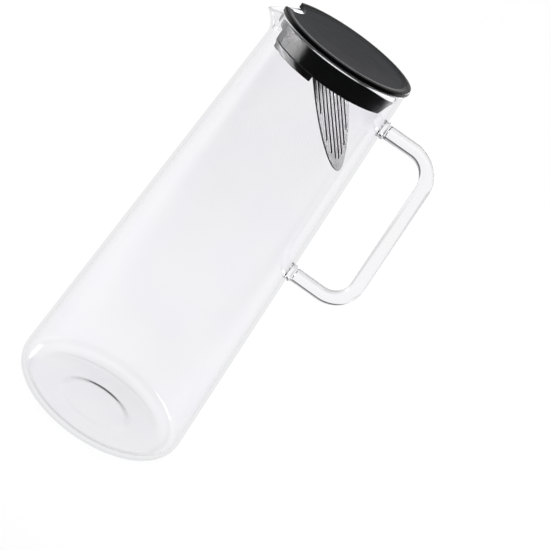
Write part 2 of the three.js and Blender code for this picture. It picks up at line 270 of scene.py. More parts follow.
def textured_plastic():
    """Charcoal top of a fine-textured moulding, painted lighter as if lit from above, with the polished
    edge and sides painted near black in shade.
    """
    material = bpy.data.materials.new("textured_black_polypropylene_painted_top_light")
    tree = new_tree(material)
    place = add_node(tree, "ShaderNodeTexCoord").outputs["Object"]
    normal = add_node(tree, "ShaderNodeNewGeometry").outputs["Normal"]
    upward = add_node(tree, "ShaderNodeSeparateXYZ", {"Vector": normal}).outputs["Z"]
    flat = add_node(tree, "ShaderNodeVectorMath", {0: place, 1: (1, 1, 0)}, operation="MULTIPLY")
    radius = add_node(tree, "ShaderNodeVectorMath", {0: flat.outputs["Vector"]}, operation="LENGTH")
    within = add_node(tree, "ShaderNodeMapRange", {
        "Value": radius.outputs["Value"], "From Min": TEXTURE_END, "From Max": TEXTURE_RADIUS,
    })
    # painted light: faces that look up get the lighter colour, as if lit from above; the sides get a
    # near-black painted shade
    painted_light_on_top = add_node(tree, "ShaderNodeMapRange", {"Value": upward, "From Min": 0.6, "From Max": 0.9})
    top = add_node(tree, "ShaderNodeMath", {
        0: within.outputs["Result"], 1: painted_light_on_top.outputs["Result"],
    }, operation="MULTIPLY")
    grain = add_node(tree, "ShaderNodeTexNoise", {"Vector": place, "Scale": 1 / GRAIN, "Detail": 3})
    cloud = add_node(tree, "ShaderNodeTexNoise", {"Vector": place, "Scale": 1 / SMUDGE, "Detail": 2})
    speckle = add_node(tree, "ShaderNodeValToRGB", {"Fac": grain.outputs["Fac"]})
    speckle.color_ramp.elements[0].color = linear("#17181B")
    speckle.color_ramp.elements[1].color = linear("#313237")
    speckle.color_ramp.elements[0].position = 0.25
    speckle.color_ramp.elements[1].position = 0.75
    colour = add_node(tree, "ShaderNodeMix", {
        0: top.outputs["Value"], 6: linear("#08080A"), 7: speckle.outputs["Color"],
    }, data_type="RGBA")
    matt = add_node(tree, "ShaderNodeMapRange", {
        "Value": cloud.outputs["Fac"], "To Min": 0.5, "To Max": 0.62,
    })
    rough = add_node(tree, "ShaderNodeMix", {
        0: top.outputs["Value"], 2: 0.2, 3: matt.outputs["Result"],
    })
    bump = add_node(tree, "ShaderNodeBump", {
        "Height": grain.outputs["Fac"], "Strength": 0.25, "Distance": 0.1 * MM,
    })
    plastic = add_node(tree, "ShaderNodeBsdfPrincipled", {
        "Base Color": colour.outputs[2], "Roughness": rough.outputs[0],
        "Normal": bump.outputs["Normal"], "IOR": 1.49, "Specular IOR Level": 0.21,
    })
    add_node(tree, "ShaderNodeOutputMaterial", {"Surface": plastic.outputs["BSDF"]})
    return material


def polished_plastic():
    """Deep black of a polished mould: almost no colour of its own, and a soft gloss."""
    material = bpy.data.materials.new("polished_black_polypropylene")
    tree = new_tree(material)
    place = add_node(tree, "ShaderNodeTexCoord").outputs["Object"]
    cloud = add_node(tree, "ShaderNodeTexNoise", {"Vector": place, "Scale": 1 / SMUDGE, "Detail": 3})
    colour = add_node(tree, "ShaderNodeValToRGB", {"Fac": cloud.outputs["Fac"]})
    colour.color_ramp.elements[0].color = linear("#040405")
    colour.color_ramp.elements[1].color = linear("#0A0A0C")
    rough = add_node(tree, "ShaderNodeMapRange", {
        "Value": cloud.outputs["Fac"], "To Min": 0.275, "To Max": 0.29,
    })
    plastic = add_node(tree, "ShaderNodeBsdfPrincipled", {
        "Base Color": colour.outputs["Color"], "Roughness": rough.outputs["Result"], "IOR": 1.5,
    })
    add_node(tree, "ShaderNodeOutputMaterial", {"Surface": plastic.outputs["BSDF"]})
    return material


cover_finish = textured_plastic()
collar_finish = polished_plastic()
print("made", cover_finish.name, "and", collar_finish.name)

# %% [markdown]
# The seal is clear silicone rubber, which looks milky white: light goes in, scatters, and comes out
# again. Subsurface scattering would show that, but it is slow and grainy in a ring this thin, so a
# painted glow, an emission of its own, stands in for the scattered light, and a little cloudiness
# keeps it from looking like paint.

# %% Milky silicone
def milky_silicone():
    """Pale rubber with a painted glow, as if lit through, which draws the white line under the lid."""
    material = bpy.data.materials.new("milky_silicone_painted_glow")
    tree = new_tree(material)
    place = add_node(tree, "ShaderNodeTexCoord").outputs["Object"]
    cloud = add_node(tree, "ShaderNodeTexNoise", {"Vector": place, "Scale": 1 / SMUDGE, "Detail": 2})
    colour = add_node(tree, "ShaderNodeValToRGB", {"Fac": cloud.outputs["Fac"]})
    colour.color_ramp.elements[0].color = linear("#F2F3F4")
    colour.color_ramp.elements[1].color = linear("#FBFBFC")
    rough = add_node(tree, "ShaderNodeMapRange", {
        "Value": cloud.outputs["Fac"], "To Min": 0.35, "To Max": 0.5,
    })
    rubber = add_node(tree, "ShaderNodeBsdfPrincipled", {
        "Base Color": colour.outputs["Color"], "Roughness": rough.outputs["Result"], "IOR": 1.41,
    })
    # painted glow: the seal emits light of its own, which draws the white line under the lid
    painted_glow = add_node(tree, "ShaderNodeEmission", {"Color": colour.outputs["Color"], "Strength": 0.9})
    both = add_node(tree, "ShaderNodeAddShader", {0: rubber.outputs["BSDF"], 1: painted_glow.outputs["Emission"]})
    add_node(tree, "ShaderNodeOutputMaterial", {"Surface": both.outputs["Shader"]})
    return material


seal_finish = milky_silicone()
print("made", seal_finish.name)

# %% [markdown]
# The glass body is one profile: base, round corner, leaning wall, fire-polished rim, and back down the
# inside to a flat floor. The underside of blown ware is pushed up a little in its middle, so that the
# pitcher stands on a ring and doesn't rock. Seen through the floor, the soft edge of that recess mirrors
# the dark side of the room as a thin streak. Spinning a profile with both faces of the wall gives real
# thickness, which glass needs to refract as it should. A Solidify modifier could thicken a single sheet,
# but not the recess or the rounded rim.

# %% Glass body
BODY_STEPS = 320
SPOUT_HEIGHT = 15.5 * MM
SPOUT_REACH = 9.3 * MM
SPOUT_DROP = 6.6 * MM
SPOUT_HALF_ANGLE = math.radians(27)
SPOUT_CURL = 1.25
WALL_START = 20 * MM  # the first row of the wall lies above this height
spout_foot = GLASS_HEIGHT - SPOUT_HEIGHT

rim_middle = GLASS_HEIGHT - WALL / 2
rim_centre = outer_radius(rim_middle) - WALL / 2 * SLANT
outer_corner = outer_radius(BASE_CORNER) - BASE_CORNER * SLANT
corner_middle = FLOOR + FLOOR_CORNER
inner_corner = inner_radius(corner_middle) - FLOOR_CORNER * SLANT
wall_rows = ramp(WALL_START, spout_foot, 14) + ramp(spout_foot, rim_middle, 22)[:-1]


def push_height(radius):
    """Height of the underside at a radius: a shallow round recess with a soft edge."""
    share = min(max((radius - PUSH_RADIUS) / PUSH_EDGE + 0.5, 0), 1)
    return PUSH_HEIGHT * (1 + math.cos(math.pi * share)) / 2


push_rows = [0] + ramp(PUSH_RADIUS - PUSH_EDGE, PUSH_RADIUS + PUSH_EDGE, 32)
body_profile = (
    [(r, push_height(r)) for r in push_rows]
    + arc(outer_corner, BASE_CORNER, BASE_CORNER, -math.pi / 2, LEAN, 22)
    + [(outer_radius(z), z) for z in wall_rows]
    + arc(rim_centre, rim_middle, WALL / 2, LEAN, math.pi + LEAN, 12)
    + [(inner_radius(z), z) for z in reversed(wall_rows)]
    + arc(inner_corner, corner_middle, FLOOR_CORNER, LEAN, -math.pi / 2, 18)
    + [(0, FLOOR)]
)
body = spun(body_profile, BODY_STEPS)

# %% [markdown]
# The spout is pulled out of the hot rim with a tool, so here too the finished wall is pulled: each point
# above the spout's foot moves out and down, most in the middle and not at all at the sides. A squared
# cosine across and a power of the height make the pull smooth.

# %% Pull the spout
for vert in body.verts:
    turn = abs(math.atan2(vert.co.y, -vert.co.x))
    rise = (vert.co.z - spout_foot) / SPOUT_HEIGHT
    if rise > 0 and turn < SPOUT_HALF_ANGLE:
        share = math.cos(math.pi / 2 * turn / SPOUT_HALF_ANGLE) ** 2 * rise ** SPOUT_CURL
        radius = math.hypot(vert.co.x, vert.co.y)
        stretch = 1 + SPOUT_REACH * share / radius
        vert.co = Vector((vert.co.x * stretch, vert.co.y * stretch, vert.co.z - SPOUT_DROP * share))
reach = -min(v.co.x for v in body.verts if v.co.z > spout_foot)
print(f"spout reaches {1000 * reach:.1f} mm from the axis")
glass_piece = as_object(body, "pitcher_glass")

# %% [markdown]
# The handle is a solid glass rod that was bent twice and fused to the wall while soft, which leaves a
# swollen bead at each end. A circle is extruded ring by ring through the first bead, spun round the
# bends, and taken back to the wall through the second bead. Curves with a bevel would sweep a rod too,
# but the extruded rings let the rod swell where it melts into the wall.

# %% Rod handle
HANDLE_JOINT = 21.8 * MM
HANDLE_SPAN = 99 * MM
HANDLE_REACH = 36.7 * MM
HANDLE_BEND = 16 * MM
ROD_SIDES = 48
BEND_STEPS = 28
BEAD = [  # distance from the wall and radius, in millimetres, up to the rod's own radius
    (-1.1, 4.9), (0.1, 4.8), (0.35, 4.95), (0.7, 5.2), (1.1, 5.35), (1.6, 5.35), (2.0, 5.2), (2.3, 4.95),
    (2.55, 4.65), (2.85, 4.42), (3.4, 4.3),
]

out = Vector((math.cos(LEAN), 0, math.sin(LEAN)))
down = Vector((math.sin(LEAN), 0, -math.cos(LEAN)))
joint_height = GLASS_HEIGHT - HANDLE_JOINT
upper_joint = Vector((outer_radius(joint_height), 0, joint_height))


def on_handle(reach, fall):
    """A point of the handle's plane: distance from the wall, and along the wall below the upper joint."""
    return upper_joint + out * reach + down * fall


def grow(bm, ring, move, scale, centre):
    """Extrudes a ring of edges, moves the new ring and scales it about its centre."""
    made = bmesh.ops.extrude_edge_only(bm, edges=ring)["geom"]
    verts = [g for g in made if isinstance(g, bmesh.types.BMVert)]
    fresh = set(verts)
    bmesh.ops.translate(bm, verts=verts, vec=move)
    bmesh.ops.scale(bm, verts=verts, vec=(scale,) * 3, space=Matrix.Translation(-centre))
    edges = {e for v in verts for e in v.link_edges if e.verts[0] in fresh and e.verts[1] in fresh}
    return list(edges)


def bend(bm, ring, centre):
    """Spins a ring of edges a quarter turn in the handle's plane."""
    verts = list({v for e in ring for v in e.verts})
    last = bmesh.ops.spin(
        bm, geom=verts + ring, cent=centre, axis=(0, 1, 0), dvec=(0, 0, 0),
        angle=math.pi / 2, steps=BEND_STEPS, use_merge=False, use_duplicate=False,
    )["geom_last"]
    return [g for g in last if isinstance(g, bmesh.types.BMEdge)]


rod = bmesh.new()
facing = Vector((0, 0, 1)).rotation_difference(out).to_matrix().to_4x4()
start, radius = BEAD[0][0] * MM, BEAD[0][1] * MM
bmesh.ops.create_circle(
    rod, cap_ends=False, segments=ROD_SIDES, radius=radius,
    matrix=Matrix.Translation(on_handle(start, 0)) @ facing,
)
ring = rod.edges[:]
for reach, swell in BEAD[1:]:
    step = out * (reach * MM - start)
    ring = grow(rod, ring, step, swell * MM / radius, on_handle(reach * MM, 0))
    start, radius = reach * MM, swell * MM
ring = grow(rod, ring, out * (HANDLE_REACH - HANDLE_BEND - start), 1, on_handle(0, 0))
ring = bend(rod, ring, on_handle(HANDLE_REACH - HANDLE_BEND, HANDLE_BEND))
ring = grow(rod, ring, down * (HANDLE_SPAN - 2 * HANDLE_BEND), 1, on_handle(0, 0))
ring = bend(rod, ring, on_handle(HANDLE_REACH - HANDLE_BEND, HANDLE_SPAN - HANDLE_BEND))
start = HANDLE_REACH - HANDLE_BEND
for reach, swell in reversed(BEAD):
    step = out * (reach * MM - start)
    ring = grow(rod, ring, step, swell * MM / radius, on_handle(reach * MM, HANDLE_SPAN))
    start, radius = reach * MM, swell * MM
bmesh.ops.holes_fill(rod, edges=[e for e in rod.edges if e.is_boundary], sides=0)
tidy(rod)
low = min(v.co.z for v in rod.verts)
far = max(v.co.x for v in rod.verts)
print(f"rod reaches x {1000 * far:.1f} mm and down to z {1000 * low:.1f} mm")
handle_piece = as_object(rod, "rod")

# %% [markdown]
# The soft rod melts into the wall, so the two become one piece of glass. A Boolean union takes away the
# faces inside the joint. Two meshes that only overlap would show them as a bright seam.

# %% Fuse the handle to the wall
combine(glass_piece, handle_piece, "UNION")
finish_piece(glass_piece, "glass", glass_finish, ["glass_body", "glass_handle"])

# %% [markdown]
# The lid's cover is a spun plate with a raised edge that slopes into a shallow dish, and a bite at the
# spout. The bite is a cutter: a flat outline with a round lobe on either side, raised through the plate
# and taken away with a Boolean. Its new edges are then rounded like any moulding's.

# %% Lid cover
SEAT_GAP = 0.3 * MM
LID_STEPS = 160
LID_THICKNESS = 2.8 * MM
LID_EDGE = 0.7 * MM
LID_RIM = 3 * MM
LID_DISH = 0.8 * MM
LID_SLOPE = 3.5 * MM
NOTCH_RADIUS = 17 * MM
NOTCH_DEPTH = 11 * MM
LOBE_RADIUS = 3 * MM
LID_OVERHANG = 1.2 * MM
CHAMFER_WIDTH = 1.6 * MM
CHAMFER_DROP = 0.24 * MM
COVER_ROUND = 0.35 * MM
CUT_MARGIN = 1 * MM  # how far a cutter stands out of what it cuts
lid_radius = RIM_RADIUS + LID_OVERHANG
lid_foot = GLASS_HEIGHT + SEAT_GAP
lid_top = lid_foot + LID_THICKNESS
rim_inside = lid_radius - LID_RIM
chamfer_end = rim_inside - CHAMFER_WIDTH
chamfer_foot = lid_top - CHAMFER_DROP
slope_width = LID_SLOPE - CHAMFER_WIDTH
slope_drop = LID_DISH - CHAMFER_DROP
slope_rows = [i / 8 for i in range(9)]


def slope_point(share):
    """A point of the soft slope into the dish, from its outer end (0) to its inner end (1)."""
    fall = slope_drop * (1 - math.cos(math.pi * share)) / 2
    return chamfer_end - slope_width * share, chamfer_foot - fall


cover_profile = (
    [(0, lid_foot)]
    + arc(lid_radius - LID_EDGE, lid_foot + LID_EDGE, LID_EDGE, -math.pi / 2, 0, 5)
    + arc(lid_radius - LID_EDGE, lid_top - LID_EDGE, LID_EDGE, 0, math.pi / 2, 6)
    + [(rim_inside, lid_top)]
    + [slope_point(share) for share in slope_rows]
    + [(0, lid_top - LID_DISH)]
)
cover_piece = as_object(spun(cover_profile, LID_STEPS), "lid_cover_plate")

middle = lid_radius - NOTCH_DEPTH + NOTCH_RADIUS
lobe_out = lid_radius - LOBE_RADIUS
lobe_x = ((NOTCH_RADIUS + LOBE_RADIUS) ** 2 - lobe_out ** 2 - middle ** 2) / (2 * middle)
lobe_y = math.sqrt(lobe_out ** 2 - lobe_x ** 2)
to_edge = math.atan2(lobe_y, lobe_x)
from_bite = math.atan2(lobe_y, lobe_x + middle)
outline = (
    [(-lid_radius - 2 * CUT_MARGIN, -lobe_y - LOBE_RADIUS)]
    + arc(lobe_x, -lobe_y, LOBE_RADIUS, 2 * math.pi - to_edge, math.pi - from_bite, 10)
    + arc(-middle, 0, NOTCH_RADIUS, -from_bite, from_bite, 28)[1:-1]
    + arc(lobe_x, lobe_y, LOBE_RADIUS, math.pi + from_bite, to_edge, 10)
    + [(-lid_radius - 2 * CUT_MARGIN, lobe_y + LOBE_RADIUS)]
)
cutter = bmesh.new()
face = cutter.faces.new([cutter.verts.new((x, y, lid_foot - CUT_MARGIN)) for x, y in outline])
raised = bmesh.ops.extrude_face_region(cutter, geom=[face])["geom"]
bmesh.ops.translate(
    cutter, verts=[g for g in raised if isinstance(g, bmesh.types.BMVert)],
    vec=(0, 0, LID_THICKNESS + 2 * CUT_MARGIN),
)
tidy(cutter)
combine(cover_piece, as_object(cutter, "bite"), "DIFFERENCE")
soften(cover_piece, COVER_ROUND, angle=50)
finish_piece(cover_piece, "lid", cover_finish, ["lid_cover"])

# %% [markdown]
# The collar is one ring whose wall hangs to a different depth all the way round: short at the spout,
# deeper on the spout half, and cut away in a slant at the handle. A thin lip runs round its top with a
# slot behind it for the seal. The slot crosses the opening at the spout as a low channel, so that the
# collar can turn on the seal. A small bead ends the skirt on the spout half. Instead of cutting the ring
# with many Booleans, its cross-section is spun through a list of angles, closer together at each step in
# the foot, and then every column of points gets its own foot height.

# %% Lid collar
NECK_WALL = 3 * MM
FLANGE = 1.6 * MM
SKIRT_HEIGHT = 11.1 * MM
SKIRT_WALL = 1.8 * MM
SKIRT_DRAFT = 0.8 * MM
BAND_HEIGHT = 3.1 * MM
BAND_STEP = 0.5 * MM
BEAD_OUT = 0.45 * MM
BEAD_HEIGHT = 1.2 * MM
SHOULDER_DIP = 3.4 * MM
SHOULDER_HALF_ANGLE = 54
SEAL_HEIGHT = 2.2 * MM
SEAL_GROOVE = 5.2 * MM
POUR_SIDE = 144  # angles from the handle, in degrees
BAND_SIDE = 91.5
VENT_FOOT = 20
VENT_TOP = 10
STEP_WIDTH = 0.25
COLUMN_STEP = 2.5
CROWDED = 145.0  # this column would lie too near the step at the spout
LIP_WALL = 0.7 * MM
LIP_HEIGHT = 0.62 * MM
SLOT_DEPTH = 3.6 * MM
SLOT_GAP = 1.4 * MM
CHANNEL_FLOOR = 0.6 * MM  # under the slot where it crosses the opening at the spout
MOUTH_PLAY = 0.4 * MM  # between the mouth and the collar
COLLAR_ROUND = 0.25 * MM
NEAR = 0.1 * MM  # tolerance when points are picked by radius or height

mouth_radius = inner_radius(GLASS_HEIGHT)
skirt_radius = mouth_radius - MOUTH_PLAY
foot_radius = skirt_radius - SKIRT_DRAFT
neck_radius = skirt_radius - SEAL_GROOVE
flange_top = lid_foot - 2 * SEAT_GAP - SEAL_HEIGHT
flange_foot = flange_top - FLANGE
skirt_foot = flange_top - SKIRT_HEIGHT
band_foot = skirt_foot - BAND_HEIGHT
neck_top = lid_foot - SEAT_GAP
lip_radius = skirt_radius - LIP_WALL
lip_top = flange_top + LIP_HEIGHT
slot_foot = flange_top - SLOT_DEPTH
channel_foot = slot_foot - CHANNEL_FLOOR
channel_radius = skirt_radius - SKIRT_DRAFT * (lip_top - channel_foot) / (lip_top - skirt_foot)


def foot_height(angle):
    """How deep the collar's wall hangs at an angle from the handle, in degrees."""
    vent_top = flange_foot - SHOULDER_DIP
    if angle <= VENT_TOP:
        return vent_top
    if angle <= VENT_FOOT:
        return vent_top + (skirt_foot - vent_top) * (angle - VENT_TOP) / (VENT_FOOT - VENT_TOP)
    if angle <= BAND_SIDE:
        return skirt_foot
    return band_foot if angle <= POUR_SIDE else channel_foot


def shoulder_drop(angle):
    """How far the flange's edge sinks at an angle from the handle, in degrees."""
    if angle >= SHOULDER_HALF_ANGLE:
        return 0
    return SHOULDER_DIP * (1 + math.cos(math.pi * angle / SHOULDER_HALF_ANGLE)) / 2


half = sorted(
    {i * COLUMN_STEP for i in range(int(180 / COLUMN_STEP) + 1)} - {CROWDED}
    | {VENT_TOP, VENT_FOOT, BAND_SIDE, BAND_SIDE + STEP_WIDTH, POUR_SIDE, POUR_SIDE + STEP_WIDTH}
)
turns = [-a for a in reversed(half[1:-1])] + half
collar = bmesh.new()
section = [  # inner foot, outer foot, bead, lip, slot for the seal, neck and flange
    (foot_radius - SKIRT_WALL, band_foot), (foot_radius - BAND_STEP, band_foot),
    (foot_radius - BAND_STEP, skirt_foot), (foot_radius + BEAD_OUT, skirt_foot + 0.2 * BEAD_HEIGHT),
    (foot_radius + BEAD_OUT, skirt_foot + 0.6 * BEAD_HEIGHT), (foot_radius, skirt_foot + BEAD_HEIGHT),
    (skirt_radius, lip_top), (lip_radius, lip_top), (lip_radius, slot_foot),
    (lip_radius - SLOT_GAP, slot_foot), (lip_radius - SLOT_GAP, flange_top), (neck_radius, flange_top),
    (neck_radius, neck_top), (neck_radius - NECK_WALL, neck_top),
    (neck_radius - NECK_WALL, flange_foot), (foot_radius - SKIRT_WALL, flange_foot),
]
verts = [collar.verts.new((r, 0, z)) for r, z in section]
edges = [collar.edges.new(pair) for pair in zip(verts, verts[1:] + verts[:1])]
bmesh.ops.rotate(
    collar, verts=verts, cent=(0, 0, 0), matrix=Matrix.Rotation(math.radians(turns[0]), 3, "Z")
)
geom = verts + edges
for before, after in zip(turns, turns[1:] + [turns[0] + 360]):
    geom = bmesh.ops.spin(
        collar, geom=geom, cent=(0, 0, 0), axis=(0, 0, 1), dvec=(0, 0, 0),
        angle=math.radians(after - before), steps=1, use_merge=False, use_duplicate=False,
    )["geom_last"]
bmesh.ops.remove_doubles(collar, verts=collar.verts[:], dist=MERGE)
for vert in collar.verts:
    angle = round(abs(math.degrees(math.atan2(vert.co.y, vert.co.x))), 4)
    radius = math.hypot(vert.co.x, vert.co.y)
    foot = foot_height(angle)
    at_foot = vert.co.z < skirt_foot + BEAD_HEIGHT + NEAR
    on_bead = radius > foot_radius + NEAR and vert.co.z < skirt_foot + BEAD_HEIGHT
    on_skirt = radius > neck_radius + NEAR
    if angle > POUR_SIDE and at_foot and radius > foot_radius - BAND_STEP - NEAR:
        vert.co.xy *= channel_radius / radius
    if angle <= BAND_SIDE and on_bead:
        vert.co.xy *= foot_radius / radius
    if on_skirt and vert.co.z < slot_foot - NEAR:
        vert.co.z = max(vert.co.z, foot)
    elif radius > lip_radius - NEAR and vert.co.z > slot_foot + NEAR:
        vert.co.z -= shoulder_drop(angle)
    elif on_skirt and radius < foot_radius - SKIRT_WALL + NEAR:
        vert.co.z = max(vert.co.z - shoulder_drop(angle), foot)
tidy(collar)
collar_piece = as_object(collar, "lid_collar_ring")
soften(collar_piece, COLLAR_ROUND, angle=45)
finish_piece(collar_piece, "lid", collar_finish, ["lid_collar"], crease=30)

# %% [markdown]
# The seal is a silicone ring in the groove between cover and collar, with a skirt that stands in the slot
# behind the collar's lip. Over the lip it shows as a thin white line, which widens where the lip dips at
# the handle. It is one closed profile with rounded corners, spun once, and stays round, so that the lid
# can turn on it.

# %% Silicone seal
SEAL_CORNER = 0.3 * MM
SEAL_PLAY = 0.2 * MM  # between the seal's skirt and each side of the slot
seal_foot = flange_top + SEAT_GAP
seal_top = seal_foot + SEAL_HEIGHT
seal_in, seal_out = neck_radius + SEAT_GAP, lip_radius - SEAL_PLAY
seal_skirt = seal_out - SLOT_GAP + 2 * SEAL_PLAY
corners = [  # centre of each round corner, and the angle at which its arc starts
    (seal_out - SEAL_CORNER, slot_foot + SEAT_GAP + SEAL_CORNER, -90),
    (seal_out - SEAL_CORNER, seal_top - SEAL_CORNER, 0),
    (seal_in + SEAL_CORNER, seal_top - SEAL_CORNER, 90),
    (seal_in + SEAL_CORNER, seal_foot + SEAL_CORNER, 180),
]
seal_profile = [
    p for x, z, a in corners for p in arc(x, z, SEAL_CORNER, math.radians(a), math.radians(a + 90), 4)
] + [(seal_skirt, seal_foot), (seal_skirt, slot_foot + SEAT_GAP)]
seal_piece = as_object(spun(seal_profile, LID_STEPS, closed=True), "silicone_seal")
finish_piece(seal_piece, "seal", seal_finish, ["seal_ring"])

# %% [markdown]
# The strainer is a flat leaf, cut to fit a round mouth, so its outline is a circle seen from above and an
# ellipse in its own plane. A circle is stretched to that ellipse, its top is cut off straight with a
# plane, and it is thickened. The slots are one cutter of nine long round-ended bars.

# %% Leaf strainer
LEAF_SLOPE = math.radians(49)
LEAF_THICKNESS = 1.8 * MM
LEAF_SHEET = 0.8 * MM
LEAF_BORDER = 4.3 * MM
SLOT_PITCH = 7.1 * MM
SLOT_WIDTH = 3 * MM
SLOT_TOP = 3 * MM
LEAF_PLAY = 0.4 * MM  # between the leaf and the collar's wall
LEAF_DROP = 1.8 * MM  # from the skirt's foot down to the leaf on the axis
LEAF_ROUND = 0.36 * MM
leaf_radius = foot_radius - SKIRT_WALL - LEAF_PLAY
leaf_axis = skirt_foot - LEAF_DROP
leaf_lift = LEAF_THICKNESS / 2 * math.cos(LEAF_SLOPE)
leaf_end = -(flange_foot - SEAT_GAP - leaf_axis - leaf_lift) / math.sin(LEAF_SLOPE)
lie = Matrix.Translation((0, 0, leaf_axis)) @ Matrix.Rotation(LEAF_SLOPE, 4, "Y")


def thicken(bm, faces, low, height):
    """Raises flat faces into a solid that starts at a height of its own plane."""
    bmesh.ops.translate(bm, verts=bm.verts[:], vec=(0, 0, low))
    made = bmesh.ops.extrude_face_region(bm, geom=faces)["geom"]
    top = [g for g in made if isinstance(g, bmesh.types.BMVert)]
    bmesh.ops.translate(bm, verts=top, vec=(0, 0, height))
    tidy(bm)


leaf = bmesh.new()
bmesh.ops.create_circle(leaf, cap_ends=True, segments=180, radius=leaf_radius)
bmesh.ops.scale(leaf, verts=leaf.verts[:], vec=(1 / math.cos(LEAF_SLOPE), 1, 1))
bmesh.ops.bisect_plane(
    leaf, geom=leaf.verts[:] + leaf.edges[:] + leaf.faces[:], plane_co=(leaf_end, 0, 0),
    plane_no=(-1, 0, 0), clear_outer=True,
)
thicken(leaf, leaf.faces[:], LEAF_THICKNESS / 2 - LEAF_SHEET, LEAF_SHEET)
leaf_piece = as_object(leaf, "leaf_strainer_plate")

slots = bmesh.new()
inside = leaf_radius - LEAF_BORDER
half_slot = SLOT_WIDTH / 2
side_slots = int(inside / SLOT_PITCH)
for k in range(-side_slots, side_slots + 1):
    y = k * SLOT_PITCH
    end = math.sqrt(inside ** 2 - y ** 2) / math.cos(LEAF_SLOPE) - half_slot
    rounds = (
        arc(end, y, half_slot, -math.pi / 2, math.pi / 2, 8)
        + arc(-SLOT_TOP, y, half_slot, math.pi / 2, 3 * math.pi / 2, 8)
    )
    slots.faces.new([slots.verts.new((a, b, 0)) for a, b in rounds])
thicken(slots, slots.faces[:], -2 * LEAF_THICKNESS, 4 * LEAF_THICKNESS)
print(f"leaf: {2 * side_slots + 1} slots, {1000 * leaf_radius:.1f} mm radius seen from above")
combine(leaf_piece, as_object(slots, "slot_bars"), "DIFFERENCE")
leaf_piece.data.transform(lie)
soften(leaf_piece, LEAF_ROUND, angle=50)
finish_piece(leaf_piece, "lid", collar_finish, ["leaf_strainer"])

# %% [markdown]
# The camera stands where the photographer stood: about a metre away, a little to the handle's side,
# looking down at about twenty degrees through a long lens, and rolled so that the pitcher leans.

# %% Camera
CAMERA_PLACE = Vector((147.5, -929.5, 481.0)) * MM
CAMERA_AIM = Vector((41.6, 0, 137.6)) * MM
CAMERA_ROLL = math.radians(36.35)
SENSOR, LENS = 36, 114.2  # width and focal length, in millimetres
camera_data = bpy.data.cameras.new("photo_camera")
camera_data.sensor_width, camera_data.lens = SENSOR, LENS
camera = bpy.data.objects.new("photo_camera", camera_data)
look = (CAMERA_AIM - CAMERA_PLACE).to_track_quat("-Z", "Y")
camera.rotation_mode = "QUATERNION"
camera.rotation_quaternion = look @ Quaternion((0, 0, 1), CAMERA_ROLL)
camera.location = CAMERA_PLACE
bpy.context.scene.collection.objects.link(camera)
bpy.context.scene.camera = camera
print("camera is", round((CAMERA_PLACE - CAMERA_AIM).length, 3), "m from its aim")

# %% [markdown]
# The studio. Clear glass is seen only by what it bends and mirrors. On a white ground with white all
# round it would vanish, so photographers keep the white behind the glass and the room in front dark.
# The world does the same. It is white where the camera sees it. For rays that have met gloss it is white
# behind the pitcher and overhead and dark in front. A dark band above the backdrop draws the grey lines
# along the glass, with a thin veil of white over it for light that only passes through. For lighting it
# is an even soft grey.

# %% World
BACKDROP = Vector((-0.157, 0.988, 0.0))
SKY = [  # height of the direction, as the sine of its elevation, and the tone there
    (-1.0, "#FFFFFF"), (0.13, "#FFFFFF"), (0.24, "#38393B"),
    (0.36, "#38393B"), (0.46, "#BEBEC0"), (0.7, "#E8E8EA"),
]
DARK_ROOM = "#232426"
VEIL = 0.06  # share of white over the dark band
SOFT_LIGHT = 0.45
world = bpy.data.worlds.new("studio")
bpy.context.scene.world = world
tree = new_tree(world)
rays = add_node(tree, "ShaderNodeLightPath")
direction = add_node(tree, "ShaderNodeTexCoord").outputs["Generated"]
height = add_node(tree, "ShaderNodeSeparateXYZ", {"Vector": direction}).outputs["Z"]
level = add_node(tree, "ShaderNodeMapRange", {"Value": height, "From Min": -1})
sky = add_node(tree, "ShaderNodeValToRGB", {"Fac": level.outputs["Result"]})
for stop, (sine, tone) in enumerate(SKY):
    mark = sky.color_ramp.elements[stop] if stop < 2 else sky.color_ramp.elements.new(1)
    mark.position, mark.color = (sine + 1) / 2, linear(tone)
behind = add_node(tree, "ShaderNodeVectorMath", {0: direction, 1: BACKDROP}, operation="DOT_PRODUCT")
share = add_node(tree, "ShaderNodeMapRange", {
    "Value": behind.outputs["Value"], "From Min": -0.35, "From Max": 0.3,
}, interpolation_type="SMOOTHSTEP")
ceiling = add_node(tree, "ShaderNodeMapRange", {"Value": height, "From Min": 0.5, "From Max": 0.75})
lit = add_node(tree, "ShaderNodeMath", {
    0: share.outputs["Result"], 1: ceiling.outputs["Result"],
}, operation="MAXIMUM")
room = add_node(tree, "ShaderNodeMix", {
    0: lit.outputs["Value"], 6: linear(DARK_ROOM), 7: sky.outputs["Color"],
}, data_type="RGBA")
mirrored = add_node(tree, "ShaderNodeBackground", {"Color": room.outputs[2], "Strength": 1})
veiled = add_node(tree, "ShaderNodeMix", {
    0: VEIL, 6: sky.outputs["Color"], 7: linear("#FFFFFF"),
}, data_type="RGBA")
through = add_node(tree, "ShaderNodeBackground", {"Color": veiled.outputs[2], "Strength": 1})
lighting = add_node(tree, "ShaderNodeBackground", {"Color": linear("#FFFFFF"), "Strength": SOFT_LIGHT})
seen = add_node(tree, "ShaderNodeBackground", {"Color": linear("#FFFFFF"), "Strength": 1})
reflected = add_node(tree, "ShaderNodeMath", {
    0: rays.outputs["Glossy Depth"], 1: 0.5,
}, operation="GREATER_THAN")
whole = lighting.outputs["Background"]
for chosen, backdrop in (
    (rays.outputs["Is Transmission Ray"], through), (reflected.outputs["Value"], mirrored),
    (rays.outputs["Is Camera Ray"], seen),
):
    whole = add_node(tree, "ShaderNodeMixShader", {
        0: chosen, 1: whole, 2: backdrop.outputs["Background"],
    }).outputs["Shader"]
add_node(tree, "ShaderNodeOutputWorld", {"Surface": whole})
print("world set")
